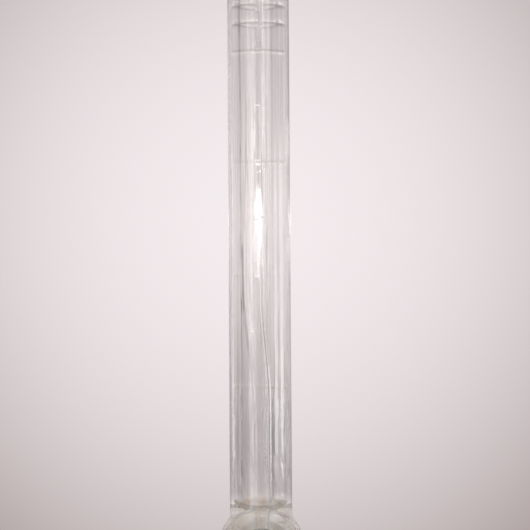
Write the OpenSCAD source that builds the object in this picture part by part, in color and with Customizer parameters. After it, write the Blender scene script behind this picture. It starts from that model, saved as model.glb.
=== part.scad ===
// Graduated cylindrical dropping funnel: a heavy-walled measuring tube with a ground socket and stopper on top,
// a ground-glass stopcock under it and a plain stem with an oblique tip. Millimetres, +Z up.
// The origin is on the axis, where the stem's full round wall begins above its oblique tip.
// The key's T handle points to the front, along -Y.

/* [Measuring tube] */
// Outside diameter of the heavy-walled tube
tube_od = 16; // [15:0.5:20]
// Bore of the tube
bore_d = 9.45; // [8:0.05:10.2]
// Height of the ground socket's lower end above the stopcock axis
socket_rise = 143.2; // [100:0.1:180]
// Depth of the drain cone at the foot of the bore
drain_cone_h = 2.9; // [1:0.1:5]
// Depth of the drain cone's foot below the top of the barrel
drain_sink = 1.9; // [0.5:0.1:2.8]

/* [Graduations] */
// Height of the scale's zero above the foot of the straight bore
zero_rise = 1.65; // [0:0.05:5]
// Volume between two marks in millilitres
mark_ml = 1; // [0.5:0.1:2]
// Width of an engraved mark
mark_w = 1.2; // [0.6:0.1:2]
// Depth of an engraved mark
mark_depth = 0.15; // [0.05:0.01:0.3]
// Angle that a long mark spans round the front
long_mark_angle = 114; // [60:1:180]
// Angle that a short mark spans round the front
short_mark_angle = 44; // [20:1:60]

/* [Socket neck] */
// Large diameter of the ground socket
socket_d = 12.5; // [11.5:0.1:13.5]
// Length of the ground socket
socket_len = 21; // [16:0.1:26]
// Diameter per length of every ground taper
taper = 0.1; // [0.08:0.01:0.12]
// Height of the glass rim above the ground zone
rim_h = 2; // [1:0.1:4]
// Radius of the bead round the rim
bead_r = 1.2; // [0.6:0.1:2]
// Height of the bevel that leads from the bore into the socket
socket_lead_h = 0.5; // [0.3:0.1:1.5]
// Distance of the seal with the tube below the socket's lower end
seal_drop = 7.3; // [2:0.1:10]

/* [Stopcock] */
// Outside diameter of the barrel
barrel_od = 22.5; // [21:0.1:26]
// Length of the barrel
barrel_len = 32; // [28:0.5:40]
// Rounding of the barrel's ends
barrel_round = 2.5; // [1:0.1:3]
// Large diameter of the key, at the barrel's front face
key_d = 14.5; // [13.5:0.1:16]
// Channel through the barrel and the key
channel_d = 2.5; // [1.5:0.1:4]

/* [Key handle] */
// Length of the key's head in front of the barrel
key_head = 2; // [1:0.1:4]
// Length of the shoulder between head and neck
key_shoulder = 2.5; // [1:0.1:4]
// Diameter of the neck
neck_d = 7; // [5:0.1:7.4]
// Length of the neck
neck_len = 6; // [4:0.1:10]
// Length of the T handle
handle_len = 42; // [30:0.5:50]
// Diameter of the T handle at its middle
handle_d = 7.6; // [7.4:0.1:9]
// Diameter of the T handle at its ends
handle_end_d = 10; // [9:0.1:12]

/* [Key retainer] */
// Distance of the key's small end inside the barrel's back face
key_inset = 0.6; // [0.3:0.1:2]
// Diameter of the key's tail
tail_d = 8; // [6.5:0.1:9]
// Thickness of the slip washer
washer_t = 1; // [0.5:0.1:2]
// Outside diameter of the slip washer
washer_od = 16.5; // [15:0.1:19]
// Thickness of the rubber ring
ring_t = 2.6; // [1.8:0.1:3.5]
// Thickness of the pressure ring
pressure_t = 2; // [1:0.1:3]
// Outside diameter of the pressure ring
pressure_od = 14.5; // [13:0.1:18]
// Length of the retaining nut
nut_len = 8; // [6:0.1:12]
// Outside diameter of the retaining nut
nut_od = 15; // [13:0.1:18]
// Number of grip flutes on the nut
nut_flutes = 16; // [8:1:24]
// Diameter of a grip flute
flute_d = 2; // [1:0.1:2.5]
// Depth of a grip flute
flute_depth = 0.5; // [0.2:0.1:0.9]
// Length of tail behind the nut
tail_spare = 0.8; // [0.5:0.1:4]
// Bevel at the end of the tail and at both ends of the nut
edge_bevel = 0.6; // [0.2:0.1:1]

/* [Outlet stem] */
// Outside diameter of the stem
stem_od = 9; // [7:0.1:11]
// Bore of the stem
stem_bore = 4; // [3:0.1:6]
// Height of the funnel that leads from the channel into the stem's bore
stem_lead_h = 1; // [0.5:0.1:3]
// Length of the stem's straight wall above its oblique tip
stem_len = 78; // [50:1:120]
// Angle of the oblique tip to the level
tip_angle = 30; // [15:1:45]
// Diameter of the stem's shoulder under the barrel
shoulder_d = 13; // [12:0.1:16]
// Height of the stem's shoulder
shoulder_h = 6; // [3:0.5:10]

/* [Stopper] */
// Depth of the sleeve's lower end below the large end of the socket
sleeve_depth = 20.65; // [12:0.05:20.9]
// Wall of the sleeve
sleeve_t = 0.25; // [0.2:0.05:0.5]
// Height of the sleeve's inner lip under the stopper
lip_h = 0.6; // [0.4:0.1:1]
// Reach of the sleeve's inner lip
lip_w = 1; // [0.5:0.1:2]
// Width of the sleeve's collar over the rim
collar_w = 1.4; // [0.8:0.1:1.8]
// Height of the sleeve's collar
collar_h = 1; // [0.6:0.1:2]
// Height of the stopper's shoulder above the collar
stopper_shoulder_h = 2; // [1:0.1:4]
// Diameter of the stopper's neck
stopper_neck_d = 6; // [4.5:0.1:6.5]
// Height of the stopper's neck
stopper_neck_h = 1.6; // [1:0.1:5]
// Diameter of the flat round head
head_d = 20; // [16:0.5:26]
// Thickness of the flat round head
head_t = 7; // [6.6:0.1:9]
// Rounding of the head's edge
head_round = 2.4; // [1:0.1:2.9]

/* [Clearances] */
// Radial gap between the ground faces of key and barrel
key_gap = 0.03; // [0.02:0.01:0.06]
// Radial gap between sleeve and socket
sleeve_gap = 0.03; // [0.02:0.01:0.06]
// Radial gap between stopper and sleeve
stopper_gap = 0.03; // [0.02:0.01:0.06]
// Radial gap between the tail and what slides on it
tail_gap = 0.05; // [0.03:0.01:0.1]
// Gap between faces that turn or seat on each other
face_gap = 0.1; // [0.05:0.01:0.2]

/* [Hidden] */
$fn = 96;

// Overrun of a cut past the face that it opens
cut = 0.5;
// Cubic millimetres in a millilitre
mm3_per_ml = 1000;

tube_r = tube_od / 2;
bore_r = bore_d / 2;
barrel_r = barrel_od / 2;
channel_r = channel_d / 2;
tail_r = tail_d / 2;
barrel_half = barrel_len / 2;
half_taper = taper / 2;

// Levels up the axis
barrel_z = stem_len + shoulder_h + barrel_r;
drain_z = barrel_z + barrel_r - drain_sink;
bore_z = drain_z + drain_cone_h;
socket_z = barrel_z + socket_rise;
seal_z = socket_z - seal_drop;
mouth_z = socket_z + socket_len;
rim_z = mouth_z + rim_h;
sleeve_z = mouth_z - sleeve_depth;
collar_z = rim_z + face_gap;
stopper_z = sleeve_z + lip_h + face_gap;
cone_top_z = collar_z + collar_h;
head_z = cone_top_z + stopper_shoulder_h + stopper_neck_h + head_d / 2;

// The marks measure the bore's volume from the scale's zero upwards
zero_z = bore_z + zero_rise;
mark_step = mark_ml * mm3_per_ml / (PI * bore_r ^ 2);
mark_count = floor((seal_z - mark_w - zero_z) / mark_step);

// Distances along the stopcock axis from the tube's axis, positive to the front
handle_y = barrel_half + key_head + key_shoulder + neck_len + handle_d / 2;
washer_y = -barrel_half - face_gap;
ring_y = washer_y - washer_t;
pressure_y = ring_y - ring_t - face_gap;
nut_y = pressure_y - pressure_t - face_gap;
tail_y = nut_y - nut_len - tail_spare;
ring_hole_r = tail_r + tail_gap;

// Radius of the ground socket at a height, and of the key's seat at a distance to the front
function socket_r(z) = socket_d / 2 - half_taper * (mouth_z - z);
function seat_r(y) = key_d / 2 + half_taper * (y - barrel_half);
function sleeve_r(z) = socket_r(z) - sleeve_gap;
function stopper_r(z) = sleeve_r(z) - sleeve_t - stopper_gap;

// Puts a shape that was turned about Z on the stopcock axis, with its upper end to the front
module on_stopcock_axis() {
    translate([0, 0, barrel_z])
        rotate([90, 0, 0])
            children();
}

// Solid turned rod with rounded edges, centred on the origin
module rounded_rod(r, len, round) {
    rotate_extrude() {
        translate([0, -len / 2])
            square([r - round, len]);
        translate([0, round - len / 2])
            square([r, len - 2 * round]);
        for (side = [-1, 1])
            translate([r - round, side * (len / 2 - round)])
                intersection() {
                    circle(round);
                    translate([0, -round])
                        square(2 * round);
                }
    }
}

// Outside of the barrel without its bore, which also cuts the saddles of the tube and the stem
module barrel_blank() {
    on_stopcock_axis()
        rounded_rod(barrel_r, barrel_len, barrel_round);
}

// Flat ring on the stopcock axis, from a front face backwards
module flat_ring(front_y, t, od) {
    on_stopcock_axis()
        translate([0, 0, front_y - t])
            difference() {
                cylinder(d = od, h = t);
                translate([0, 0, -cut])
                    cylinder(r = ring_hole_r, h = t + 2 * cut);
            }
}

// Space inside the tube: bore, drain cone and the channel into the barrel
module tube_space() {
    translate([0, 0, bore_z])
        cylinder(r = bore_r, h = seal_z - bore_z + cut);
    translate([0, 0, drain_z])
        cylinder(r1 = channel_r, r2 = bore_r, h = drain_cone_h);
    translate([0, 0, barrel_z])
        cylinder(r = channel_r, h = drain_z - barrel_z);
}

// V groove round the front of the tube
module mark(z, angle) {
    rotate([0, 0, -90 - angle / 2])
        rotate_extrude(angle = angle)
            polygon([
                [tube_r - mark_depth, z],
                [tube_r + mark_depth, z - mark_w],
                [tube_r + mark_depth, z + mark_w]
            ]);
}

module measuring_tube() {
    color([0.87, 0.88, 0.88, 0.4])
        difference() {
            translate([0, 0, barrel_z])
                cylinder(r = tube_r, h = seal_z - barrel_z);
            barrel_blank();
            tube_space();
            for (i = [1 : mark_count])
                mark(zero_z + i * mark_step, i % 2 == 0 ? long_mark_angle : short_mark_angle);
        }
}

module socket_neck() {
    color([0.87, 0.88, 0.88, 0.4])
        difference() {
            union() {
                translate([0, 0, seal_z])
                    cylinder(r = tube_r, h = rim_z - seal_z);
                translate([0, 0, rim_z - bead_r])
                    rotate_extrude()
                        translate([tube_r, 0])
                            circle(bead_r);
            }
            translate([0, 0, seal_z - cut])
                cylinder(r = bore_r, h = cut + seal_drop);
            translate([0, 0, socket_z - socket_lead_h])
                cylinder(r1 = bore_r, r2 = socket_r(socket_z), h = socket_lead_h);
            translate([0, 0, socket_z])
                cylinder(r1 = socket_r(socket_z), r2 = socket_r(rim_z + cut), h = rim_z - socket_z + cut);
        }
}

module stopcock_barrel() {
    color([0.87, 0.88, 0.88, 0.4])
        difference() {
            barrel_blank();
            on_stopcock_axis()
                translate([0, 0, -barrel_half - cut])
                    cylinder(
                        r1 = seat_r(-barrel_half - cut),
                        r2 = seat_r(barrel_half + cut),
                        h = barrel_len + 2 * cut
                    );
            tube_space();
            translate([0, 0, barrel_z - barrel_r - cut])
                cylinder(r = channel_r, h = barrel_r + cut);
        }
}

module outlet_stem() {
    tip_h = stem_od * tan(tip_angle);
    color([0.87, 0.88, 0.88, 0.4])
        difference() {
            union() {
                translate([0, 0, -tip_h])
                    cylinder(d = stem_od, h = tip_h + stem_len);
                translate([0, 0, stem_len])
                    cylinder(d1 = stem_od, d2 = shoulder_d, h = shoulder_h);
                translate([0, 0, stem_len + shoulder_h])
                    cylinder(d = shoulder_d, h = barrel_r);
            }
            barrel_blank();
            translate([0, 0, -tip_h - cut])
                cylinder(d = stem_bore, h = tip_h + cut + stem_len);
            translate([0, 0, stem_len])
                cylinder(d1 = stem_bore, d2 = channel_d, h = stem_lead_h);
            translate([0, 0, stem_len])
                cylinder(r = channel_r, h = shoulder_h + barrel_r);
            // The oblique cut leaves the long side of the tip at the back
            translate([0, -stem_od / 2, 0])
                rotate([-tip_angle, 0, 0])
                    translate([-stem_od, -stem_od, -2 * stem_od])
                        cube([2 * stem_od, 4 * stem_od, 2 * stem_od]);
        }
}

module stopcock_key() {
    head_y = barrel_half + key_head;
    seat_back_y = key_inset - barrel_half;
    color([0.85, 0.85, 0.82, 0.5])
        difference() {
            on_stopcock_axis() {
                translate([0, 0, tail_y])
                    cylinder(r1 = tail_r - edge_bevel, r2 = tail_r, h = edge_bevel);
                translate([0, 0, tail_y + edge_bevel])
                    cylinder(r = tail_r, h = seat_back_y - tail_y - edge_bevel);
                translate([0, 0, seat_back_y])
                    cylinder(
                        r1 = seat_r(seat_back_y) - key_gap,
                        r2 = seat_r(head_y) - key_gap,
                        h = head_y - seat_back_y
                    );
                translate([0, 0, head_y])
                    cylinder(r1 = seat_r(head_y) - key_gap, r2 = neck_d / 2, h = key_shoulder);
                translate([0, 0, head_y + key_shoulder])
                    cylinder(d = neck_d, h = handle_y - head_y - key_shoulder);
                translate([0, 0, handle_y])
                    rotate([0, 90, 0])
                        t_handle();
            }
            translate([-barrel_r, 0, barrel_z])
                rotate([0, 90, 0])
                    cylinder(r = channel_r, h = barrel_od);
        }
}

// Bar with a slim middle and ball ends, turned about Z
module t_handle() {
    end_r = handle_end_d / 2;
    ball_z = handle_len / 2 - end_r;
    for (side = [0, 1])
        mirror([0, 0, side]) {
            cylinder(r1 = handle_d / 2, r2 = end_r, h = ball_z);
            translate([0, 0, ball_z])
                rotate_extrude()
                    intersection() {
                        circle(end_r);
                        square(end_r);
                    }
        }
}

module slip_washer() {
    color([0.95, 0.95, 0.93])
        flat_ring(washer_y, washer_t, washer_od);
}

module tension_ring() {
    color([0.2, 0.2, 0.2])
        on_stopcock_axis()
            translate([0, 0, ring_y - ring_t / 2])
                rotate_extrude()
                    translate([ring_hole_r + ring_t / 2, 0])
                        circle(ring_t / 2);
}

module pressure_ring() {
    color([0.92, 0.9, 0.82])
        flat_ring(pressure_y, pressure_t, pressure_od);
}

// Round outline with grip flutes all round and the tail's hole in the middle
module nut_outline() {
    difference() {
        circle(d = nut_od);
        circle(r = ring_hole_r);
        for (i = [1 : nut_flutes])
            rotate(i * 360 / nut_flutes)
                translate([nut_od / 2 + flute_d / 2 - flute_depth, 0])
                    circle(d = flute_d);
    }
}

module retaining_nut() {
    nut_r = nut_od / 2;
    color([0.92, 0.9, 0.82])
        on_stopcock_axis()
            translate([0, 0, nut_y - nut_len])
                intersection() {
                    linear_extrude(nut_len)
                        nut_outline();
                    rotate_extrude()
                        polygon([
                            [0, 0],
                            [nut_r - edge_bevel, 0],
                            [nut_r, edge_bevel],
                            [nut_r, nut_len - edge_bevel],
                            [nut_r - edge_bevel, nut_len],
                            [0, nut_len]
                        ]);
                }
}

module stopper_sleeve() {
    color([0.95, 0.95, 0.93])
        difference() {
            union() {
                translate([0, 0, sleeve_z])
                    cylinder(r1 = sleeve_r(sleeve_z), r2 = sleeve_r(collar_z), h = collar_z - sleeve_z);
                translate([0, 0, collar_z])
                    cylinder(r = socket_r(rim_z) + collar_w, h = collar_h);
            }
            translate([0, 0, sleeve_z + lip_h])
                cylinder(
                    r1 = sleeve_r(sleeve_z + lip_h) - sleeve_t,
                    r2 = sleeve_r(cone_top_z + cut) - sleeve_t,
                    h = cone_top_z + cut - sleeve_z - lip_h
                );
            translate([0, 0, sleeve_z - cut])
                cylinder(r = sleeve_r(sleeve_z) - sleeve_t - lip_w, h = lip_h + 2 * cut);
        }
}

module stopper() {
    color([0.85, 0.87, 0.88, 0.45]) {
        translate([0, 0, stopper_z])
            cylinder(r1 = stopper_r(stopper_z), r2 = stopper_r(cone_top_z), h = cone_top_z - stopper_z);
        translate([0, 0, cone_top_z])
            cylinder(r1 = stopper_r(cone_top_z), r2 = stopper_neck_d / 2, h = stopper_shoulder_h);
        translate([0, 0, cone_top_z + stopper_shoulder_h])
            cylinder(d = stopper_neck_d, h = head_z - cone_top_z - stopper_shoulder_h);
        translate([0, 0, head_z])
            rotate([90, 0, 0])
                rounded_rod(head_d / 2, head_t, head_round);
    }
}

measuring_tube();
socket_neck();
stopcock_barrel();
outlet_stem();
stopcock_key();
slip_washer();
tension_ring();
pressure_ring();
retaining_nut();
stopper_sleeve();
stopper();
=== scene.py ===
import math

import bpy
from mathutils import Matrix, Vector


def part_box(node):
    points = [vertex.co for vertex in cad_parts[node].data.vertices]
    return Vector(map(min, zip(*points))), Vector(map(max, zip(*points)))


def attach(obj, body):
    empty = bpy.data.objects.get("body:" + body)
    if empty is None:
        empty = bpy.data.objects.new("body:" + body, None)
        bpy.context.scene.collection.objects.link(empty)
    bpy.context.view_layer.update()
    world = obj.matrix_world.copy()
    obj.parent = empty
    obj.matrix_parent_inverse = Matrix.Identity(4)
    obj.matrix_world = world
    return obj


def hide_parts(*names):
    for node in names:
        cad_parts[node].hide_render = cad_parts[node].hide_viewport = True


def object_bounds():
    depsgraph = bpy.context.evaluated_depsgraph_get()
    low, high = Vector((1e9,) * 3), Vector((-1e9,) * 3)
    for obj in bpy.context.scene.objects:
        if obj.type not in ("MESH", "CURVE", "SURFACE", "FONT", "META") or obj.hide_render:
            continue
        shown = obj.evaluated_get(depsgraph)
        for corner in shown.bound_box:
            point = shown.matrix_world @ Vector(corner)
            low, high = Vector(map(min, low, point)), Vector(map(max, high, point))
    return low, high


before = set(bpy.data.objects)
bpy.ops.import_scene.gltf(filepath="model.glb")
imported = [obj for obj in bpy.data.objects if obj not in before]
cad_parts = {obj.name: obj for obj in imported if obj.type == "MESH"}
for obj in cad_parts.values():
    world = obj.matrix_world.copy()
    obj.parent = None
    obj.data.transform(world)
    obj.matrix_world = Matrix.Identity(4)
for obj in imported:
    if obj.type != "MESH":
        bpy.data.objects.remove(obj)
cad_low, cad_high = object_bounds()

# Glass body: a heavy-walled tube with a ground socket on top, the stopcock's barrel across its foot and a plain
# stem below. Lengths of clear tube and rod are sealed to each other in the flame, which leaves small rounds at the
# seams. The ring marks are wheel-cut across the front, and the two seats are ground with fine grit.
mm = 0.001
barrel_low, barrel_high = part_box("stopcock_barrel")
axis_z = (barrel_low.z + barrel_high.z) / 2
barrel_r = (barrel_high.z - barrel_low.z) / 2
barrel_half = barrel_high.y
tube_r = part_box("measuring_tube")[1].x
rim_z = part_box("socket_neck")[1].z
shoulder_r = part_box("outlet_stem")[1].x
stem_r = 4.5 * mm
stem_bore_r = 2 * mm
stem_top_z = 78 * mm
shoulder_z = 84 * mm
tip_slope = math.tan(math.radians(30))
bore_r = 4.725 * mm
channel_r = 1.25 * mm
drain_z = 104.6 * mm
seal_z = 231.15 * mm
socket_z = 238.45 * mm
socket_low_r = 5.2 * mm
mouth_z = 259.45 * mm
socket_rim_r = 6.35 * mm
seat_front_r = 7.25 * mm
half_taper = 0.05
zero_z = 109.15 * mm
mark_step = 14.2575 * mm
mark_count = 8
mark_depths = (0.02, 0.02, 0.025, 0.025, 0.03, 0.04, 0.04, 0.09)
long_mark = 57
short_mark = 22
seam_row = 0.1 * mm
seam_rows = 9
tube_fillet = 0.6 * mm
stem_fillet = 1.2 * mm
tip_rows_z = 0.6 * mm
wall_steps = 192
across_steps = 160


def arc(r, along, radius, start, end, parts):
    """Points of a round corner in an outline; the angles are in degrees, and 0 points away from the axis."""
    turns = [math.radians(start + (end - start) * k / parts) for k in range(parts + 1)]
    return [(r + radius * math.cos(t), along + radius * math.sin(t)) for t in turns]


def bend(first, corner, last, parts):
    """Points of a soft bend that starts at the first point, heads for the corner and ends at the last point."""
    spots = []
    for k in range(parts + 1):
        t = k / parts
        spots.append(tuple(
            (1 - t) ** 2 * a + 2 * t * (1 - t) * b + t ** 2 * c for a, b, c in zip(first, corner, last)
        ))
    return spots


def turned(name, outline, steps, across=False):
    """Draws an outline of (radius, along) points and spins it, upright or about the stopcock's axis."""
    spots = [(r, -along, axis_z) if across else (r, 0, along) for r, along in outline]
    if outline[0][0] > 0:
        spots.append(spots[0])
    bpy.ops.object.select_all(action="DESELECT")
    bpy.ops.mesh.primitive_plane_add(size=mm, location=(0, 0, 0))
    piece = bpy.context.object
    piece.name = name
    bpy.ops.object.mode_set(mode="EDIT")
    bpy.ops.mesh.select_mode(type="VERT")
    bpy.ops.mesh.select_all(action="SELECT")
    bpy.ops.mesh.merge(type="CENTER")
    bpy.ops.transform.translate(value=spots[0])
    for here, there in zip(spots, spots[1:]):
        move = [b - a for a, b in zip(here, there)]
        bpy.ops.mesh.extrude_region_move(TRANSFORM_OT_translate={"value": move})
    bpy.ops.mesh.select_all(action="SELECT")
    bpy.ops.mesh.remove_doubles(threshold=1e-6)
    bpy.ops.mesh.spin(
        steps=steps,
        angle=2 * math.pi,
        center=(0, 0, axis_z),
        axis=(0, 1, 0) if across else (0, 0, 1),
    )
    bpy.ops.mesh.select_all(action="SELECT")
    bpy.ops.mesh.remove_doubles(threshold=1e-6)
    bpy.ops.mesh.normals_make_consistent(inside=False)
    bpy.ops.mesh.select_all(action="DESELECT")
    bpy.ops.object.mode_set(mode="OBJECT")
    return piece


def worked(piece, tool, how):
    """Adds one solid to another or cuts it away, and clears the second one off the bench."""
    bpy.ops.object.select_all(action="DESELECT")
    piece.select_set(True)
    bpy.context.view_layer.objects.active = piece
    step = piece.modifiers.new(how, "BOOLEAN")
    step.operation = how
    step.solver = "EXACT"
    step.object = tool
    bpy.ops.object.modifier_apply(modifier=step.name)
    bpy.data.objects.remove(tool)


def smooth(piece, angle):
    """Shades a piece smooth and keeps the edges that are sharper than an angle in degrees."""
    bpy.ops.object.select_all(action="DESELECT")
    piece.select_set(True)
    bpy.context.view_layer.objects.active = piece
    bpy.ops.object.shade_smooth_by_angle(angle=math.radians(angle))


def drawn_out(piece, wall_r, side, fillet):
    """Moves the rows of a seam onto the round between a wall and the barrel, above it or below it."""
    for v in piece.data.vertices:
        row = round((v.co.z - axis_z) * side / seam_row)
        if not 0 <= row < seam_rows or abs(math.hypot(v.co.x, v.co.y) - wall_r) > 1e-5:
            continue
        turn = math.atan2(v.co.y, v.co.x)
        lean = math.cos(turn)
        rise = math.sqrt(barrel_r ** 2 - (wall_r * lean) ** 2)
        fall = -wall_r * lean ** 2 / rise
        reach = 1 / math.hypot(1, fall)
        opening = math.acos(fall * reach)
        length = fillet / math.tan(opening / 2)
        foot_r = wall_r + length * reach
        foot = math.sqrt(barrel_r ** 2 - (foot_r * lean) ** 2) - 0.01 * mm
        t = 1 - row / (seam_rows - 1)
        r = (1 - t * t) * wall_r + t * t * foot_r
        z = (1 - t) ** 2 * (rise + length) + 2 * t * (1 - t) * rise + t * t * foot
        v.co = (r * math.cos(turn), r * math.sin(turn), axis_z + side * z)


def slanted(piece, last_z):
    """Slants the end of the stem: the tip's rows slide down the wall, furthest at the back."""
    for v in piece.data.vertices:
        if v.co.z < last_z:
            v.co.z -= (v.co.y + stem_r) * tip_slope


mark_rows = [-0.75, -0.6, -0.3, 0, 0.3, 0.6, 0.75]
marks = [zero_z + (i + 1) * mark_step for i in range(mark_count)]
wall = [(0, 0)]
wall += arc(stem_r - 0.4 * mm, 0.4 * mm, 0.4 * mm, -90, 0, 4)
wall += [(stem_r, 0.9 * mm), (stem_r, stem_top_z - 3 * mm)]
wall += bend((stem_r, stem_top_z - 2.5 * mm), (stem_r, stem_top_z), (5.5 * mm, 81 * mm), 6)
wall += bend((5.5 * mm, 81 * mm), (shoulder_r, shoulder_z), (shoulder_r, shoulder_z + 1.5 * mm), 6)[1:]
wall += [(shoulder_r, axis_z - row * seam_row) for row in reversed(range(seam_rows))]
wall += [(4 * mm, axis_z - 5 * mm), (4 * mm, axis_z + 5 * mm)]
wall += [(tube_r, axis_z + row * seam_row) for row in range(seam_rows)]
wall += [(tube_r, axis_z + barrel_r + 2.2 * mm)]
wall += [(tube_r, z + row * mm) for z in marks for row in mark_rows]
wall += [(tube_r, rim_z - 4.2 * mm)]
wall += bend((tube_r, rim_z - 3.4 * mm), (tube_r, rim_z - 2.6 * mm), (8.5 * mm, rim_z - 2.2 * mm), 4)
wall += arc(tube_r, rim_z - 1.2 * mm, 1.2 * mm, -60, 90, 12)
wall += [(0, rim_z)]
glass = turned("glass_body", wall, wall_steps)
slanted(glass, tip_rows_z)
drawn_out(glass, tube_r, 1, tube_fillet)
drawn_out(glass, shoulder_r, -1, stem_fillet)

for i, z in enumerate(marks):
    reach = long_mark if i % 2 else short_mark
    for rows, share in (((0,), 1), ((-0.3, 0.3), 0.5)):
        for v in glass.data.vertices:
            level = any(abs(v.co.z - z - row * mm) < 0.02 * mm for row in rows)
            in_front = abs(math.degrees(math.atan2(v.co.x, -v.co.y))) < reach
            v.select = level and in_front and math.hypot(v.co.x, v.co.y) > tube_r - 0.01 * mm
        bpy.context.view_layer.objects.active = glass
        bpy.ops.object.mode_set(mode="EDIT")
        size = 1 - share * mark_depths[i] * mm / tube_r
        bpy.ops.transform.resize(value=(size, size, 1), center_override=(0, 0, 0))
        bpy.ops.mesh.select_all(action="DESELECT")
        bpy.ops.object.mode_set(mode="OBJECT")

rod = [(0, -barrel_half)]
rod += arc(barrel_r - 2.5 * mm, 2.5 * mm - barrel_half, 2.5 * mm, -90, 0, 8)
rod += [(barrel_r, k * 2 * mm) for k in range(-6, 7)]
rod += arc(barrel_r - 2.5 * mm, barrel_half - 2.5 * mm, 2.5 * mm, 0, 90, 8)
rod += [(0, barrel_half)]
worked(glass, turned("barrel", rod, across_steps, across=True), "UNION")

seal_ridge = ((-0.6, 0), (-0.4, 0.015), (-0.2, 0.045), (0, 0.06), (0.2, 0.045), (0.4, 0.015), (0.6, 0))
bore = [(0, -9 * mm), (2.6 * mm, -9 * mm), (2.6 * mm, -0.2 * mm)]
bore += bend((2.45 * mm, 0), (stem_bore_r, 0), (stem_bore_r, 0.5 * mm), 4)
bore += [(stem_bore_r, 0.9 * mm), (stem_bore_r, stem_top_z - mm)]
bore += bend((stem_bore_r, stem_top_z), (channel_r, stem_top_z + 0.5 * mm), (channel_r, stem_top_z + 2 * mm), 5)
bore += [(channel_r, drain_z - 0.5 * mm)]
bore += bend((channel_r, drain_z - 0.3 * mm), (channel_r, drain_z), (1.6 * mm, drain_z + 0.3 * mm), 3)
bore += bend((4 * mm, drain_z + 2.3 * mm), (bore_r, drain_z + 2.9 * mm), (bore_r, drain_z + 3.8 * mm), 6)
bore += [(bore_r, drain_z + 4.5 * mm)]
for ring_z in (seal_z, seal_z + 4.7 * mm):
    bore += [(bore_r, ring_z - 1.5 * mm)]
    bore += [(bore_r - dip * mm, ring_z + row * mm) for row, dip in seal_ridge]
    bore += [(bore_r, ring_z + 1.5 * mm)]
bore += bend((bore_r, socket_z - 0.7 * mm), (bore_r, socket_z - 0.4 * mm), (4.9 * mm, socket_z - 0.2 * mm), 3)
bore += [(socket_low_r, socket_z), (socket_low_r + 0.02 * mm, socket_z + 0.4 * mm)]
bore += bend((socket_rim_r, rim_z - 0.5 * mm), (socket_rim_r, rim_z), (6.9 * mm, rim_z + 0.02 * mm), 4)
bore += [(6.9 * mm, rim_z + 2 * mm), (0, rim_z + 2 * mm)]
bore_tool = turned("bore", bore, wall_steps)
slanted(bore_tool, tip_rows_z)
worked(glass, bore_tool, "DIFFERENCE")

past = barrel_half + mm
seat = [(0, -past), (seat_front_r - half_taper * (past + barrel_half), -past)]
seat += [(seat_front_r - half_taper * (barrel_half - k * mm), k * mm) for k in range(-12, 13, 4)]
seat += [(seat_front_r + half_taper * (past - barrel_half), past), (0, past)]
worked(glass, turned("seat", seat, across_steps, across=True), "DIFFERENCE")
smooth(glass, 32)
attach(glass, "glass")
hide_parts("measuring_tube", "socket_neck", "stopcock_barrel", "outlet_stem")


def node_group(name, inputs, outputs):
    """An empty shader node group with its sockets; an input is (name, socket type, value)."""
    group = bpy.data.node_groups.new(name, "ShaderNodeTree")
    for title, kind, value in inputs:
        socket = group.interface.new_socket(name=title, in_out="INPUT", socket_type=kind)
        if value is not None:
            socket.default_value = value
    for title, kind in outputs:
        group.interface.new_socket(name=title, in_out="OUTPUT", socket_type=kind)
    return group, group.nodes.new("NodeGroupInput"), group.nodes.new("NodeGroupOutput")


def finish_of(name):
    """A new material with its node tree, its shader and a texture coordinate node."""
    material = bpy.data.materials.new(name)
    material.use_nodes = True
    tree = material.node_tree
    return material, tree, tree.nodes["Principled BSDF"], tree.nodes.new("ShaderNodeTexCoord")


def sums(tree, operation, first, second=None):
    """A math node; each side is a socket or a number."""
    node = tree.nodes.new("ShaderNodeMath")
    node.operation = operation
    for side, value in zip(node.inputs, (first, second)):
        if isinstance(value, (int, float)):
            side.default_value = value
        elif value is not None:
            tree.links.new(value, side)
    return node.outputs[0]


def placed(tree, vector, stretch):
    """A mapping node that stretches a pattern along the three axes."""
    node = tree.nodes.new("ShaderNodeMapping")
    node.inputs["Scale"].default_value = stretch
    tree.links.new(vector, node.inputs["Vector"])
    return node.outputs[0]


def noise(tree, vector, scale, detail, rough=0.5):
    """A noise texture at a scale per metre."""
    node = tree.nodes.new("ShaderNodeTexNoise")
    node.inputs["Scale"].default_value = scale
    node.inputs["Detail"].default_value = detail
    node.inputs["Roughness"].default_value = rough
    tree.links.new(vector, node.inputs["Vector"])
    return node.outputs["Fac"]


def spread(tree, value, low, high, to_low, to_high):
    """A map range node that clamps."""
    node = tree.nodes.new("ShaderNodeMapRange")
    for title, number in zip(("From Min", "From Max", "To Min", "To Max"), (low, high, to_low, to_high)):
        node.inputs[title].default_value = number
    tree.links.new(value, node.inputs["Value"])
    return node.outputs[0]


def tinted(tree, share, first, second, blend="MIX"):
    """A mix of two colours; each colour is a socket or a tuple, and the share is a socket or a number."""
    node = tree.nodes.new("ShaderNodeMix")
    node.data_type = "RGBA"
    node.blend_type = blend
    for title, value in (("Factor", share), ("A", first), ("B", second)):
        if isinstance(value, tuple):
            node.inputs[title].default_value = (*value, 1)
        elif isinstance(value, (int, float)):
            node.inputs[title].default_value = value
        else:
            tree.links.new(value, node.inputs[title])
    return node.outputs["Result"]


def bumped(tree, height, distance, shader):
    """A bump node on the shader's normal; the distance is the height of the relief in metres."""
    node = tree.nodes.new("ShaderNodeBump")
    node.inputs["Distance"].default_value = distance
    tree.links.new(height, node.inputs["Height"])
    tree.links.new(node.outputs["Normal"], shader.inputs["Normal"])


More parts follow.
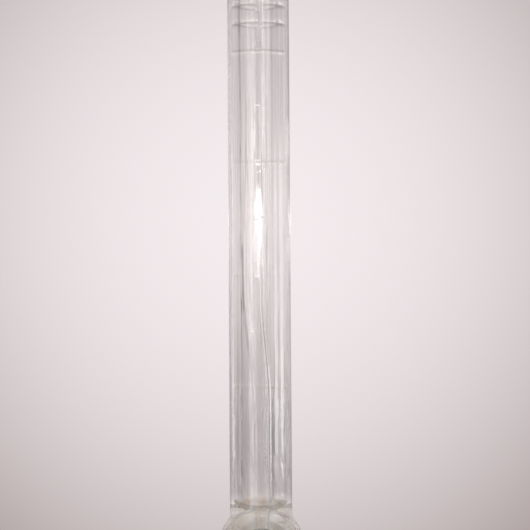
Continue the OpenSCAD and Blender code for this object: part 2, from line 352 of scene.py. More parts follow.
# Fine lines that the drawing of tube and rod leaves in the glass. They run straight along the upper part, wander
# where the glass was heated again for the seal at the foot, and are faint on stem and socket. Faint smears come from
# handling.
wander_z, straight_z = 120 * mm, 180 * mm
calm_stem_z, busy_z = 75 * mm, 100 * mm
busy_top_z, calm_socket_z = 238.5 * mm, 242.5 * mm
drawn_glass, start, end = node_group(
    "drawn_glass",
    [("Vector", "NodeSocketVector", None), ("Smears", "NodeSocketFloat", 0.03)],
    [("Relief", "NodeSocketFloat"), ("Roughness", "NodeSocketFloat"), ("Streaks", "NodeSocketFloat")],
)
spot = drawn_glass.nodes.new("ShaderNodeSeparateXYZ")
drawn_glass.links.new(start.outputs["Vector"], spot.inputs[0])
sway = noise(drawn_glass, placed(drawn_glass, start.outputs["Vector"], (0.15, 0.15, 1)), 28, 1)
sway = sums(drawn_glass, "MULTIPLY", sums(drawn_glass, "SUBTRACT", sway, 0.5), 9 * mm)
sway = sums(drawn_glass, "MULTIPLY", sway, spread(drawn_glass, spot.outputs[2], wander_z, straight_z, 1, 0.1))
sway = sums(drawn_glass, "MULTIPLY", sway, spread(drawn_glass, spot.outputs[2], calm_stem_z, busy_z, 0.1, 1))
calm = sums(
    drawn_glass,
    "MINIMUM",
    spread(drawn_glass, spot.outputs[2], calm_stem_z, busy_z, 0.3, 1),
    spread(drawn_glass, spot.outputs[2], busy_top_z, calm_socket_z, 1, 0.25),
)
swayed = drawn_glass.nodes.new("ShaderNodeCombineXYZ")
drawn_glass.links.new(sums(drawn_glass, "ADD", spot.outputs[0], sway), swayed.inputs[0])
drawn_glass.links.new(spot.outputs[1], swayed.inputs[1])
drawn_glass.links.new(spot.outputs[2], swayed.inputs[2])
lines = noise(drawn_glass, placed(drawn_glass, swayed.outputs[0], (1, 1, 0.012)), 800, 3, 0.6)
waves = noise(drawn_glass, placed(drawn_glass, swayed.outputs[0], (1, 1, 0.06)), 200, 1)
relief = sums(drawn_glass, "ADD", sums(drawn_glass, "MULTIPLY", lines, 2), sums(drawn_glass, "MULTIPLY", waves, 3))
drawn_glass.links.new(sums(drawn_glass, "MULTIPLY", relief, calm), end.inputs["Relief"])
fine = sums(drawn_glass, "ABSOLUTE", sums(drawn_glass, "SUBTRACT", lines, 0.5))
fine = spread(drawn_glass, fine, 0.01, 0.035, 1, 0)
apart = noise(drawn_glass, placed(drawn_glass, swayed.outputs[0], (1, 1, 0.03)), 260, 1)
fine = sums(drawn_glass, "MULTIPLY", fine, spread(drawn_glass, apart, 0.46, 0.54, 0, 1))
broad = spread(drawn_glass, lines, 0.45, 0.66, 0, 0.5)
streaks = sums(drawn_glass, "MAXIMUM", fine, broad)
drawn_glass.links.new(sums(drawn_glass, "MULTIPLY", streaks, calm), end.inputs["Streaks"])
smears = noise(drawn_glass, placed(drawn_glass, start.outputs["Vector"], (1, 1, 0.35)), 140, 5, 0.65)
smears = spread(drawn_glass, smears, 0.55, 0.75, 0, 1)
drawn_glass.links.new(
    sums(drawn_glass, "MULTIPLY", smears, start.outputs["Smears"]), end.inputs["Roughness"]
)

# The fine pitted skin of a ground seat, milky where it is dry and clearer where grease fills it.
ground_skin, start, end = node_group(
    "ground_skin",
    [
        ("Vector", "NodeSocketVector", None),
        ("Mask", "NodeSocketFloat", 1.0),
        ("Dry", "NodeSocketFloat", 0.4),
    ],
    [("Roughness", "NodeSocketFloat"), ("Pits", "NodeSocketFloat"), ("Milky", "NodeSocketFloat")],
)
grit = noise(ground_skin, start.outputs["Vector"], 9000, 3, 0.7)
patches = spread(ground_skin, noise(ground_skin, start.outputs["Vector"], 350, 3), 0.35, 0.65, 0.55, 1)
dry = sums(ground_skin, "MULTIPLY", patches, start.outputs["Dry"])
ground_skin.links.new(sums(ground_skin, "MULTIPLY", dry, start.outputs["Mask"]), end.inputs["Roughness"])
ground_skin.links.new(sums(ground_skin, "MULTIPLY", grit, start.outputs["Mask"]), end.inputs["Pits"])
ground_skin.links.new(sums(ground_skin, "MULTIPLY", patches, start.outputs["Mask"]), end.inputs["Milky"])


def grouped(tree, group, vector, **values):
    """A shader group in a material, with its own values."""
    node = tree.nodes.new("ShaderNodeGroup")
    node.node_tree = group
    tree.links.new(vector, node.inputs["Vector"])
    for title, value in values.items():
        if isinstance(value, (int, float)):
            node.inputs[title].default_value = value
        else:
            tree.links.new(value, node.inputs[title])
    return node.outputs


def glass_shader(shader):
    """Sets what is the same all over clear laboratory glass."""
    shader.inputs["Transmission Weight"].default_value = 1
    shader.inputs["IOR"].default_value = 1.47
    shader.inputs["Metallic"].default_value = 0


def upright_r(tree, coords):
    """The three coordinates on a piece, and the distance from the tube's axis."""
    parts = tree.nodes.new("ShaderNodeSeparateXYZ")
    tree.links.new(coords.outputs["Object"], parts.inputs[0])
    x, y, z = parts.outputs
    off_axis = sums(tree, "SQRT", sums(tree, "ADD", sums(tree, "POWER", x, 2), sums(tree, "POWER", y, 2)))
    return x, y, z, off_axis


def off_stopcock(tree, coords):
    """The three coordinates on a piece, and the distance from the stopcock's axis."""
    x, y, z, _ = upright_r(tree, coords)
    drop = sums(tree, "SUBTRACT", z, axis_z)
    off_key = sums(tree, "SQRT", sums(tree, "ADD", sums(tree, "POWER", x, 2), sums(tree, "POWER", drop, 2)))
    return x, y, z, off_key


foot_z = 108 * mm
dab_stretch = (1, 0.05, 0.12)
dab_scale = 330
clear_glass, tree, shader, coords = finish_of("clear_glass")
glass_shader(shader)
x, y, z, off_axis = upright_r(tree, coords)
off_key = off_stopcock(tree, coords)[3]
in_socket = sums(
    tree, "MULTIPLY", sums(tree, "LESS_THAN", off_axis, 6.6 * mm), spread(tree, z, socket_z - 0.6 * mm, socket_z, 0, 1)
)
in_seat = sums(
    tree, "MULTIPLY", sums(tree, "LESS_THAN", off_key, 7.35 * mm), sums(tree, "GREATER_THAN", off_key, 5.5 * mm)
)
in_drain = sums(
    tree, "MULTIPLY", sums(tree, "LESS_THAN", off_axis, 5 * mm), spread(tree, z, 107.5 * mm, 110.5 * mm, 1, 0)
)
on_barrel = spread(tree, z, foot_z - 4 * mm, foot_z, 0.5, 0)
on_ends = spread(tree, sums(tree, "ABSOLUTE", y), 12.5 * mm, 14 * mm, 0, 0.3)
on_ends = sums(tree, "MULTIPLY", on_ends, sums(tree, "LESS_THAN", z, foot_z))
greased = sums(tree, "MAXIMUM", sums(tree, "MAXIMUM", in_seat, in_drain), sums(tree, "MAXIMUM", on_barrel, on_ends))
greased = sums(tree, "MULTIPLY", greased, spread(tree, z, 82 * mm, 84 * mm, 0, 1))
drawn = grouped(tree, drawn_glass, coords.outputs["Object"], Smears=0.02)
ground = grouped(tree, ground_skin, coords.outputs["Object"], Mask=greased, Dry=0.6)
dry = grouped(tree, ground_skin, coords.outputs["Object"], Mask=in_socket, Dry=0.4)


def cord(high_z, high_x, low_z, low_x, width):
    """A cord in the glass on the tube's front: a thin ridge that wanders aside on its way down."""
    line = spread(tree, z, low_z * mm, high_z * mm, low_x * mm, high_x * mm)
    line.node.interpolation_type = "SMOOTHSTEP"
    aside = sums(tree, "ABSOLUTE", sums(tree, "SUBTRACT", x, line))
    ridge = spread(tree, aside, 0, width * mm, 1, 0)
    ridge.node.interpolation_type = "SMOOTHSTEP"
    ridge = sums(tree, "MULTIPLY", ridge, spread(tree, z, high_z * mm, (high_z + 12) * mm, 1, 0))
    return sums(tree, "MULTIPLY", ridge, sums(tree, "LESS_THAN", y, 0))


cords = sums(tree, "MULTIPLY", cord(162, 0.3, 133, 2.1, 0.3), 6)
cords = sums(tree, "ADD", cords, sums(tree, "MULTIPLY", cord(167, -3.2, 125, -0.5, 0.9), 2.5))
rough = sums(tree, "MAXIMUM", drawn["Roughness"], sums(tree, "MAXIMUM", ground["Roughness"], dry["Roughness"]))
tree.links.new(rough, shader.inputs["Roughness"])
streaked = tinted(tree, drawn["Streaks"], (0.995, 0.995, 0.995), (0.78, 0.76, 0.76))
dabs = noise(tree, placed(tree, coords.outputs["Object"], dab_stretch), dab_scale, 2)
greasy = tinted(tree, spread(tree, dabs, 0.4, 0.6, 0, 1), (1, 0.99, 0.97), (0.8, 0.73, 0.65))
tree.links.new(tinted(tree, ground["Milky"], streaked, greasy), shader.inputs["Base Color"])
pits = sums(tree, "MULTIPLY", sums(tree, "MAXIMUM", ground["Pits"], dry["Pits"]), 0.6)
relief = sums(tree, "ADD", sums(tree, "ADD", drawn["Relief"], pits), cords)
bumped(tree, relief, 0.045 * mm, shader)
glass.data.materials.append(clear_glass)


def greased_ground(name, stretch):
    """Ground glass under a film of grease: milky, with whitish and brown dabs along a stretched pattern."""
    material, tree, shader, coords = finish_of(name)
    glass_shader(shader)
    shader.inputs["Transmission Weight"].default_value = 0.55
    ground = grouped(tree, ground_skin, coords.outputs["Object"], Dry=0.6)
    tree.links.new(ground["Roughness"], shader.inputs["Roughness"])
    dabs = noise(tree, placed(tree, coords.outputs["Object"], stretch), dab_scale, 2)
    grease = tinted(tree, spread(tree, dabs, 0.44, 0.56, 0, 1), (1, 0.985, 0.96), (0.7, 0.62, 0.53))
    tree.links.new(grease, shader.inputs["Base Color"])
    bumped(tree, ground["Pits"], 0.02 * mm, shader)
    return material


glass.data.materials.append(greased_ground("greased_ground_seat", dab_stretch))
for face in glass.data.polygons:
    spot = face.center
    seat_r = seat_front_r - half_taper * (barrel_half + spot.y)
    on_seat = abs(math.hypot(spot.x, spot.z - axis_z) - seat_r) < 0.05 * mm and abs(spot.y) < barrel_half
    on_drain = abs(spot.z - drain_z - 1.8 * mm) < 2 * mm and math.hypot(spot.x, spot.y) < bore_r + 0.01 * mm
    if on_seat or on_drain:
        face.material_index = 1

# Stopcock key: a solid glass plug with a T handle, pressed hot and blown smooth in the flame, then ground to the
# taper of its seat and greased. One channel runs across it, level with the handle, so the tap is shut when the
# handle lies level. The tail behind the taper carries a round moulded thread for the nut.
tail_y = -30.7 * mm
tail_r = 4 * mm
seat_back_y = -15.4 * mm
head_y = 18 * mm
key_gap = 0.03 * mm
thread_pitch = 1.5 * mm
thread_depth = 0.3 * mm
thread_end_y = -20.4 * mm
handle_y = 30.3 * mm
grip = 4.09 * mm


def ground_r(along):
    """Radius of the key's ground taper at a distance in front of the tube's axis."""
    return seat_front_r - half_taper * (barrel_half - along) - key_gap


def pulled(piece, way, steps):
    """Pulls the furthest face of a cage out along a direction; a step is a distance and a size along the axes."""
    bpy.ops.object.mode_set(mode="EDIT")
    bpy.ops.mesh.select_mode(type="FACE")
    bpy.ops.mesh.select_all(action="DESELECT")
    bpy.ops.object.mode_set(mode="OBJECT")
    place = piece.matrix_world
    last = max(piece.data.polygons, key=lambda face: sum(a * b for a, b in zip(place @ face.center, way)))
    last.select = True
    spot = list(place @ last.center)
    bpy.ops.object.mode_set(mode="EDIT")
    for move, size in steps:
        bpy.ops.mesh.extrude_region_move(TRANSFORM_OT_translate={"value": [part * move for part in way]})
        spot = [part + step * move for part, step in zip(spot, way)]
        bpy.ops.transform.resize(value=size, center_override=spot)
    bpy.ops.object.mode_set(mode="OBJECT")


def softened(piece, levels):
    """Turns a cage into a smooth form with a subdivision surface."""
    step = piece.modifiers.new("soft", "SUBSURF")
    step.levels = levels
    step.render_levels = levels
    bpy.ops.object.modifier_apply(modifier=step.name)


thread_rows = [tail_y + 0.8 * mm + k * 0.2 * mm for k in range(48)]
plug = [(0, tail_y)]
plug += arc(tail_r - 0.6 * mm, tail_y + 0.6 * mm, 0.6 * mm, -90, 0, 4)
plug += [(tail_r, along) for along in thread_rows]
plug += bend((tail_r, -16.4 * mm), (tail_r, seat_back_y), (4.9 * mm, seat_back_y), 4)
plug += arc(ground_r(seat_back_y) - 0.3 * mm, seat_back_y + 0.3 * mm, 0.3 * mm, -90, 0, 3)
plug += [(ground_r(k * mm), k * mm) for k in range(-14, 17, 2)]
plug += bend((ground_r(17.3 * mm), 17.3 * mm), (ground_r(head_y), 18.4 * mm), (6.3 * mm, 18.9 * mm), 6)
plug += bend((5.4 * mm, 19.3 * mm), (4.1 * mm, 19.9 * mm), (3.7 * mm, 21 * mm), 6)
plug += [(3.1 * mm, 22.4 * mm), (0, 22.4 * mm)]
key = turned("key_and_handle", plug, across_steps, across=True)
for v in key.data.vertices:
    r = math.hypot(v.co.x, v.co.z - axis_z)
    along = -v.co.y
    if abs(r - tail_r) < 0.001 * mm and tail_y + 0.7 * mm < along < thread_end_y:
        turn = math.atan2(v.co.z - axis_z, v.co.x)
        share = 1 - thread_depth * (0.5 - 0.5 * math.cos(2 * math.pi * along / thread_pitch - turn)) / r
        v.co = (v.co.x * share, v.co.y, axis_z + (v.co.z - axis_z) * share)

bpy.ops.object.select_all(action="DESELECT")
bpy.ops.mesh.primitive_cube_add(size=2 * grip, location=(0, -handle_y, axis_z))
handle = bpy.context.object
pulled(handle, (0, 1, 0), [(2 * mm, (0.94, 1, 0.94)), (2.7 * mm, (0.977, 1, 0.977)), (3.5 * mm, (1, 1, 1))])
for side in (-1, 1):
    pulled(handle, (side, 0, 0), [
        (5.9 * mm, (1, 1.11, 1.11)), (5.5 * mm, (1, 1.17, 1.17)), (3.6 * mm, (1, 0.97, 0.97)), (2 * mm, (1, 0.6, 0.6)),
    ])
softened(handle, 4)
worked(key, handle, "UNION")
bpy.ops.object.select_all(action="DESELECT")
bpy.ops.mesh.primitive_cylinder_add(
    vertices=64, radius=channel_r, depth=2 * barrel_r, location=(0, 0, axis_z), rotation=(0, math.pi / 2, 0)
)
worked(key, bpy.context.object, "DIFFERENCE")
smooth(key, 35)
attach(key, "key")
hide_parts("stopcock_key")

key_glass, tree, shader, coords = finish_of("clear_key_glass")
glass_shader(shader)
drawn = grouped(tree, drawn_glass, coords.outputs["Object"], Smears=0.06)
tree.links.new(drawn["Roughness"], shader.inputs["Roughness"])
tree.links.new(tinted(tree, drawn["Streaks"], (0.98, 0.985, 0.98), (0.91, 0.91, 0.9)), shader.inputs["Base Color"])
bumped(tree, drawn["Relief"], 0.02 * mm, shader)
key.data.materials.append(key_glass)

key.data.materials.append(greased_ground("greased_ground_taper", (1, 0.15, 0.15)))
for face in key.data.polygons:
    off_key = math.hypot(face.center.x, face.center.z - axis_z)
    if seat_back_y < -face.center.y < head_y - 0.6 * mm and off_key > 5.2 * mm:
        face.material_index = 1

# Slip washer: a flat ring stamped from white fluoropolymer sheet, so that the retainer turns easily on the barrel's
# back end. The faces keep fine turning marks, and the edge is a little rounded.
hole_r = 4.05 * mm


def ring_section(outer_r, back, front, edge):
    """Outline of a flat ring round the key's tail, with its four edges rounded."""
    section = arc(hole_r + edge, back + edge, edge, 180, 270, 3)
    section += arc(outer_r - edge, back + edge, edge, 270, 360, 3)
    section += arc(outer_r - edge, front - edge, edge, 0, 90, 3)
    return section + arc(hole_r + edge, front - edge, edge, 90, 180, 3)


washer_section = ring_section(8.25 * mm, -17.1 * mm, -16.1 * mm, 0.2 * mm)
washer = turned("slip_washer_ring", washer_section, across_steps, across=True)
smooth(washer, 40)
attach(washer, "key")
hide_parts("slip_washer")

# The skin of a moulded or turned plastic: cloudy in tone, finely pitted, duller where hands have worn it.
plastic_skin, start, end = node_group(
    "plastic_skin",
    [("Vector", "NodeSocketVector", None), ("Grain", "NodeSocketFloat", 1800.0)],
    [("Tone", "NodeSocketFloat"), ("Wear", "NodeSocketFloat"), ("Relief", "NodeSocketFloat")],
)
cloudy = noise(plastic_skin, start.outputs["Vector"], 130, 4, 0.6)
plastic_skin.links.new(spread(plastic_skin, cloudy, 0.3, 0.7, 0, 1), end.inputs["Tone"])
rubbed = noise(plastic_skin, placed(plastic_skin, start.outputs["Vector"], (1, 0.5, 1)), 420, 5, 0.65)
plastic_skin.links.new(spread(plastic_skin, rubbed, 0.4, 0.7, 0, 1), end.inputs["Wear"])
pits = noise(plastic_skin, start.outputs["Vector"], 1800, 2)
plastic_skin.links.new(start.outputs["Grain"], pits.node.inputs["Scale"])
plastic_skin.links.new(pits, end.inputs["Relief"])


def fluoropolymer(name, radius_of):
    """White waxy fluoropolymer with turning marks round the axis that the given function measures from."""
    material, tree, shader, coords = finish_of(name)
    skin = grouped(tree, plastic_skin, coords.outputs["Object"], Grain=2600)
    tree.links.new(tinted(tree, skin["Tone"], (0.9, 0.885, 0.88), (0.95, 0.94, 0.94)), shader.inputs["Base Color"])
    tree.links.new(spread(tree, skin["Wear"], 0, 1, 0.3, 0.44), shader.inputs["Roughness"])
    shader.inputs["Subsurface Weight"].default_value = 0.35
    shader.inputs["Subsurface Radius"].default_value = (1 * mm, 0.95 * mm, 0.85 * mm)
    shader.inputs["IOR"].default_value = 1.38
    turning = sums(tree, "SINE", sums(tree, "MULTIPLY", radius_of(tree, coords), 2 * math.pi / (0.12 * mm)))
    relief = sums(tree, "ADD", sums(tree, "MULTIPLY", turning, 0.12), skin["Relief"])
    bumped(tree, relief, 0.012 * mm, shader)
    return material


washer.data.materials.append(fluoropolymer("washer_fluoropolymer", lambda tree, coords: off_stopcock(tree, coords)[3]))

# Tension ring: a moulded black rubber ring, squeezed between washer and pressure ring, which keeps the key pulled
# into its seat. The two halves of the mould leave a fine line round the outside and the inside.
ring_r = 5.35 * mm
cord_r = 1.3 * mm
section = []
for k in range(48):
    t = 2 * math.pi * k / 48
    swell = cord_r - 0.05 * mm + 0.05 * mm * max(0, abs(math.cos(t)) * 40 - 39)
    section.append((ring_r + swell * math.cos(t), -18.4 * mm + swell * math.sin(t)))
rubber_ring = turned("tension_ring_rubber", section, 128, across=True)
smooth(rubber_ring, 60)
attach(rubber_ring, "key")
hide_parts("tension_ring")
black_rubber, tree, shader, coords = finish_of("black_rubber")
skin = grouped(tree, plastic_skin, coords.outputs["Object"], Grain=5200)
tree.links.new(tinted(tree, skin["Tone"], (0.018, 0.018, 0.018), (0.045, 0.044, 0.042)), shader.inputs["Base Color"])
tree.links.new(spread(tree, skin["Wear"], 0, 1, 0.55, 0.8), shader.inputs["Roughness"])
bumped(tree, skin["Relief"], 0.03 * mm, shader)
rubber_ring.data.materials.append(black_rubber)

# Pressure ring: a stiff moulded ring that spreads the nut's push over the rubber. It slides along the tail and
# doesn't turn with the nut.
presser = turned("pressure_ring_nylon", ring_section(7.25 * mm, -21.8 * mm, -19.8 * mm, 0.35 * mm), 128, across=True)
smooth(presser, 40)
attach(presser, "pressure_ring")
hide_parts("pressure_ring")
ivory_nylon, tree, shader, coords = finish_of("ivory_nylon")
skin = grouped(tree, plastic_skin, coords.outputs["Object"], Grain=1500)
tree.links.new(tinted(tree, skin["Tone"], (0.76, 0.705, 0.575), (0.83, 0.79, 0.68)), shader.inputs["Base Color"])
tree.links.new(spread(tree, skin["Wear"], 0, 1, 0.32, 0.52), shader.inputs["Roughness"])
shader.inputs["Subsurface Weight"].default_value = 0.15
shader.inputs["Subsurface Radius"].default_value = (0.9 * mm, 0.7 * mm, 0.45 * mm)
bumped(tree, skin["Relief"], 0.02 * mm, shader)
presser.data.materials.append(ivory_nylon)

# Retaining nut: moulded from the same nylon, with sixteen finger flutes round it and a countersunk hole. It screws
# along the tail's thread and sets how tight the key sits.
nut_back, nut_front = -29.9 * mm, -21.9 * mm
nut_r = 7.5 * mm
flutes = 16
flute_r = 1 * mm
flute_deep = 0.5 * mm
section = [(hole_r, nut_back + 0.5 * mm), (hole_r + 0.5 * mm, nut_back), (nut_r - 1.7 * mm, nut_back)]
section += [(nut_r - 1.5 * mm, nut_back + 0.15 * mm), (nut_r - 1.3 * mm, nut_back)]
section += arc(nut_r - 0.7 * mm, nut_back + 0.7 * mm, 0.7 * mm, -90, 0, 5)
section += [(nut_r, nut_back + k * mm) for k in range(2, 7)]
section += arc(nut_r - 0.7 * mm, nut_front - 0.7 * mm, 0.7 * mm, 0, 90, 5)
section += [(hole_r + 0.5 * mm, nut_front), (hole_r, nut_front - 0.5 * mm)]
nut = turned("retaining_nut_nylon", section, 256, across=True)
hollow_r = nut_r + flute_r - flute_deep
for v in nut.data.vertices:
    r = math.hypot(v.co.x, v.co.z - axis_z)
    turn = (math.atan2(v.co.z - axis_z, v.co.x) * flutes / (2 * math.pi) + 0.5) % 1 - 0.5
    aside = hollow_r * math.sin(turn * 2 * math.pi / flutes)
    if abs(aside) < flute_r:
        share = min(1, (math.sqrt(hollow_r ** 2 - aside ** 2) - math.sqrt(flute_r ** 2 - aside ** 2)) / r)
        v.co = (v.co.x * share, v.co.y, axis_z + (v.co.z - axis_z) * share)
smooth(nut, 40)
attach(nut, "nut")
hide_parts("retaining_nut")
nut.data.materials.append(ivory_nylon)

# Stopper sleeve: a thin skin of white fluoropolymer turned to the socket's taper, so that the stopper never sticks.
# A lip at the foot keeps the stopper from going too deep, and a collar on the rim lifts the sleeve out.
sleeve_z = 238.8 * mm
collar_z = 261.55 * mm
sleeve_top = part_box("stopper_sleeve")[1].z
sleeve_t = 0.25 * mm
lip_r = 3.9375 * mm


def sleeve_r(height):
    """Radius of the sleeve's outside, a hair inside the ground socket."""
    return 6.25 * mm - half_taper * (mouth_z - height) - key_gap


section = [(lip_r, sleeve_z + 0.15 * mm), (lip_r + 0.15 * mm, sleeve_z), (sleeve_r(sleeve_z) - 0.15 * mm, sleeve_z)]
section += [(sleeve_r(sleeve_z + k * mm) - 0.005 * mm, sleeve_z + (k + 0.15) * mm) for k in range(0, 22, 3)]
section += [(sleeve_r(collar_z), collar_z - 0.1 * mm), (sleeve_r(collar_z) + 0.1 * mm, collar_z)]
section += arc(7.75 * mm - 0.3 * mm, collar_z + 0.3 * mm, 0.3 * mm, -90, 0, 4)
section += arc(7.75 * mm - 0.3 * mm, sleeve_top - 0.3 * mm, 0.3 * mm, 0, 90, 4)
section += [(sleeve_r(sleeve_top) - sleeve_t + 0.1 * mm, sleeve_top)]
section += [(sleeve_r(sleeve_top) - sleeve_t, sleeve_top - 0.1 * mm)]
section += [(sleeve_r(sleeve_z + 0.6 * mm) - sleeve_t, sleeve_z + 0.6 * mm)]
section += [(lip_r + 0.15 * mm, sleeve_z + 0.6 * mm), (lip_r, sleeve_z + 0.45 * mm)]
sleeve = turned("stopper_sleeve_skin", section, 160)
smooth(sleeve, 40)
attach(sleeve, "sleeve")
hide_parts("stopper_sleeve")
sleeve.data.materials.append(fluoropolymer("sleeve_fluoropolymer", lambda tree, coords: upright_r(tree, coords)[3]))

# Stopper: solid glass, pressed hot with a flat dished head for finger and thumb, then ground on its cone to fit the
# sleeve. The head and neck stay clear and fire-polished, the cone is grey from grinding.
stopper_z = 239.5 * mm
cone_top_z = 262.55 * mm
cone_low_r = 4.9425 * mm
cone_top_r = 6.095 * mm
head_z = 276.15 * mm
cone = [(0, stopper_z)]
cone += arc(cone_low_r - 0.4 * mm, stopper_z + 0.4 * mm, 0.4 * mm, -90, 0, 4)
cone += [(cone_low_r + half_taper * k * mm, stopper_z + k * mm) for k in range(2, 22, 3)]
cone += bend((cone_top_r - 0.03 * mm, cone_top_z - 0.6 * mm), (cone_top_r, cone_top_z + 0.3 * mm),
             (5.3 * mm, cone_top_z + 0.5 * mm), 5)
cone += bend((4.6 * mm, cone_top_z + 0.75 * mm), (3.4 * mm, cone_top_z + 1.2 * mm),
             (3.1 * mm, cone_top_z + 2.2 * mm), 5)
cone += [(2.4 * mm, cone_top_z + 3.6 * mm), (0, cone_top_z + 3.6 * mm)]
stopper = turned("stopper_glass", cone, 160)
bpy.ops.object.select_all(action="DESELECT")
bpy.ops.mesh.primitive_cylinder_add(
    vertices=8, radius=11.15 * mm, depth=7.1 * mm, location=(0, 0, head_z),
    rotation=(math.pi / 2, math.pi / 8, 0),
)
penny = bpy.context.object
pulled(penny, (0, 0, -1), [(0.9 * mm, (0.76, 0.9, 1)), (2.2 * mm, (1, 1, 1)), (1.6 * mm, (1, 1, 1))])
for face in penny.data.polygons:
    face.select = len(face.vertices) == 8
bpy.ops.object.mode_set(mode="EDIT")
bpy.ops.mesh.inset(use_individual=True, thickness=1.6 * mm)
bpy.ops.mesh.inset(use_individual=True, thickness=2.2 * mm, depth=-1.1 * mm)
bpy.ops.mesh.inset(use_individual=True, thickness=2.2 * mm, depth=-0.5 * mm)
bpy.ops.object.mode_set(mode="OBJECT")
softened(penny, 4)
worked(stopper, penny, "UNION")
smooth(stopper, 35)
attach(stopper, "stopper")
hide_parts("stopper")

stopper_glass, tree, shader, coords = finish_of("ground_stopper_glass")
glass_shader(shader)
on_cone = sums(tree, "LESS_THAN", upright_r(tree, coords)[2], cone_top_z)
drawn = grouped(tree, drawn_glass, coords.outputs["Object"], Smears=0.08)
ground = grouped(tree, ground_skin, coords.outputs["Object"], Mask=on_cone, Dry=0.5)
tree.links.new(sums(tree, "MAXIMUM", drawn["Roughness"], ground["Roughness"]), shader.inputs["Roughness"])
tree.links.new(
    tinted(tree, ground["Milky"], (0.975, 0.982, 0.978), (0.93, 0.935, 0.93)), shader.inputs["Base Color"]
)
bumped(tree, sums(tree, "ADD", drawn["Relief"], ground["Pits"]), 0.02 * mm, shader)
stopper.data.materials.append(stopper_glass)

# Floor: a plain pale table top of painted board, a hair under the tip of the stem. It is wide enough for every view
# and only faintly clouded.
bpy.ops.object.select_all(action="DESELECT")
bpy.ops.mesh.primitive_circle_add(
    vertices=96, radius=0.6, fill_type="NGON", location=(0, 0, cad_low.z - 0.1 * mm)
)
floor = bpy.context.object
floor.name = "floor"
pale_top, tree, shader, coords = finish_of("pale_table_top")
cloud = noise(tree, coords.outputs["Object"], 6, 3)
tree.links.new(tinted(tree, cloud, (0.8, 0.765, 0.745), (0.83, 0.795, 0.775)), shader.inputs["Base Color"])
shader.inputs["Roughness"].default_value = 0.6
floor.data.materials.append(pale_top)

# Camera: a long lens, level with the middle of the tube and square to its front, turned a little so that the top
# leans left.
camera = bpy.data.objects.new("camera", bpy.data.cameras.new("camera"))
bpy.context.scene.collection.objects.link(camera)
distance = 0.55
frame_height = 0.1368
eye_z = 0.1488
aim_z = 0.1688
camera.data.sensor_width = 36
camera.data.lens = 36 * distance / frame_height
camera.location = (1.28 * mm, -distance, eye_z)
tilt = math.atan2(aim_z - eye_z, distance)
camera.rotation_euler = (math.pi / 2 + tilt, math.radians(0.36), 0)
bpy.context.scene.camera = camera

# Light: a pale wall that is brightest behind the tube and grey to both sides, so that the glass shows its edges, and
# a bright ceiling, which lights the ground glass. Soft lamps in front and above give the reflections that run down
# the glass. Directions are in degrees.
world = bpy.data.worlds.new("studio")
bpy.context.scene.world = world
world.use_nodes = True
tree = world.node_tree
tree.nodes.clear()
coords = tree.nodes.new("ShaderNodeTexCoord")
place = tree.nodes.new("ShaderNodeSeparateXYZ")
tree.links.new(coords.outputs["Generated"], place.inputs[0])
turn = sums(tree, "MULTIPLY", sums(tree, "ARCTAN2", place.outputs[0], place.outputs[1]), 180 / math.pi)
room = tree.nodes.new("ShaderNodeValToRGB")
tree.links.new(spread(tree, turn, -180, 180, 0, 1), room.inputs[0])
room_tones = (
    (-180, 0.62), (-125, 0.9), (-100, 1), (-86, 0.75), (-80, 0.7), (-73, 0.68), (-67, 0.28), (-61, 0.7),
    (-53, 0.79), (-38, 0.7), (-20, 0.88), (-8, 0.9), (8, 0.82), (20, 0.76), (40, 0.74), (54, 0.84), (66, 0.72),
    (72, 0.86), (95, 0.86), (180, 0.62),
)


def toned(ramp, tones, low, high, tint):
    """Sets the stops of a colour ramp to greys of one tint at positions between two ends."""
    while len(ramp.elements) < len(tones):
        ramp.elements.new(0.5)
    for stop, (place, tone) in zip(ramp.elements, tones):
        stop.position = (place - low) / (high - low)
    for stop, (place, tone) in zip(ramp.elements, tones):
        stop.color = (tone, tone * tint[0], tone * tint[1], 1)


toned(room.color_ramp, room_tones, -180, 180, (0.915, 0.92))
lift = sums(tree, "MULTIPLY", sums(tree, "ARCSINE", place.outputs[2]), 180 / math.pi)
height = tree.nodes.new("ShaderNodeValToRGB")
tree.links.new(spread(tree, lift, -90, 90, 0, 1), height.inputs[0])
height_tones = (
    (-90, 0.95), (-14, 0.97), (-6, 0.97), (-4.7, 0.9), (-4, 0.62), (-3, 0.63), (-1, 0.74), (1, 0.88),
    (3.4, 1), (5.5, 0.9), (7.5, 0.8), (10, 0.74), (13, 0.5), (22, 0.5), (36, 0.95), (90, 1),
)
toned(height.color_ramp, height_tones, -90, 90, (1, 1))


def band(angle, rise, fall):
    """A mask between two soft edges; an edge is the pair of angles that it begins and ends at."""
    return sums(tree, "MULTIPLY", spread(tree, angle, *rise, 0, 1), spread(tree, angle, *fall, 1, 0))


pane = sums(tree, "MULTIPLY", band(turn, (18, 30), (48, 54)), band(lift, (-3.7, -3), (4, 6)))
post = sums(tree, "MULTIPLY", band(turn, (7, 10), (15, 19)), spread(tree, lift, -2.4, -1, 1, 0))
panel = sums(tree, "MULTIPLY", band(turn, (-44, -38), (-15, -10)), spread(tree, lift, -1, 2, 1, 0))
walls = tinted(tree, 1, room.outputs["Color"], height.outputs["Color"], "MULTIPLY")
walls = tinted(tree, pane, walls, (0.95, 0.92, 0.91))
walls = tinted(tree, post, walls, (0.3, 0.29, 0.29))
walls = tinted(tree, panel, walls, (0.78, 0.76, 0.76), "MULTIPLY")
walls = tinted(tree, spread(tree, lift, 28, 45, 0, 1), walls, (2.05, 1.98, 1.91))
aim = tree.nodes.new("ShaderNodeVectorMath")
aim.operation = "DOT_PRODUCT"
bright_z = 0.1818
aim_dir = (-0.004, 1, (bright_z - eye_z) / distance)
size = math.sqrt(sum(part * part for part in aim_dir))
aim.inputs[1].default_value = [part / size for part in aim_dir]
tree.links.new(coords.outputs["Generated"], aim.inputs[0])
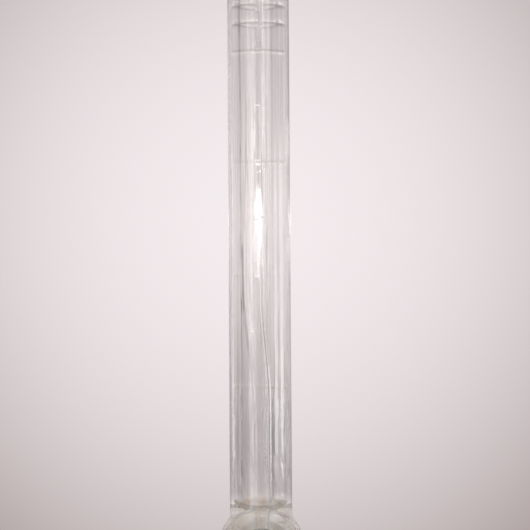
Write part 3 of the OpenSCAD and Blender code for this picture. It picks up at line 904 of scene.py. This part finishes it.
wall_tone = tree.nodes.new("ShaderNodeValToRGB")
tree.links.new(spread(tree, aim.outputs["Value"], math.cos(math.radians(16)), 1, 0, 1), wall_tone.inputs[0])
stops = wall_tone.color_ramp.elements
stops.new(0.5)
wall_tones = ((0, (0.62, 0.58, 0.585)), (0.5, (0.43, 0.365, 0.365)), (1, (0.9, 0.84, 0.855)))
for stop, (position, tone) in zip(stops, wall_tones):
    stop.position = position
    stop.color = (*tone, 1)
path = tree.nodes.new("ShaderNodeLightPath")
seen = tinted(tree, path.outputs["Is Camera Ray"], walls, wall_tone.outputs["Color"])
shown = sums(tree, "MAXIMUM", path.outputs["Is Glossy Ray"], path.outputs["Is Transmission Ray"])
shown = sums(tree, "MAXIMUM", shown, path.outputs["Is Camera Ray"])
lit = tinted(tree, shown, (0.62, 0.6, 0.6), seen)
sky = tree.nodes.new("ShaderNodeBackground")
tree.links.new(lit, sky.inputs["Color"])
out = tree.nodes.new("ShaderNodeOutputWorld")
tree.links.new(sky.outputs[0], out.inputs["Surface"])


def lamp(name, place, look_at, width, height, power):
    """A soft lamp that the camera doesn't see."""
    data = bpy.data.lights.new(name, "AREA")
    data.shape = "ELLIPSE"
    data.size = width
    data.size_y = height
    data.energy = power
    lamp_object = bpy.data.objects.new(name, data)
    bpy.context.scene.collection.objects.link(lamp_object)
    lamp_object.location = place
    ray = [b - a for a, b in zip(place, look_at)]
    lamp_object.rotation_euler = (
        math.atan2(math.hypot(ray[0], ray[1]), -ray[2]), 0, math.atan2(-ray[0], ray[1])
    )
    lamp_object.visible_camera = False


lamp("front_lamp", (-0.025, -0.56, 0.216), (0, 0, 0.18), 0.26, 0.024, 0.15)
lamp("front_glow", (-0.03, -0.56, 0.206), (0, 0, 0.18), 0.36, 0.05, 0.16)
lamp("left_window", (-0.344, -0.49, 0.2), (0, 0, 0.17), 0.15, 0.34, 0.32)
lamp("right_window", (0.36, -0.48, 0.27), (0, 0, 0.2), 0.1, 0.22, 0.12)
lamp("right_strip", (0.145, -0.54, 0.3), (0, 0, 0.22), 0.04, 0.13, 0.06)
lamp("left_strip", (-0.223, -0.514, 0.254), (0, 0, 0.2), 0.036, 0.026, 0.015)
lamp("top_lamp", (0.05, -0.42, 0.45), (0, 0, 0.2), 0.3, 0.1, 0.4)
bpy.context.scene.view_settings.view_transform = "Standard"
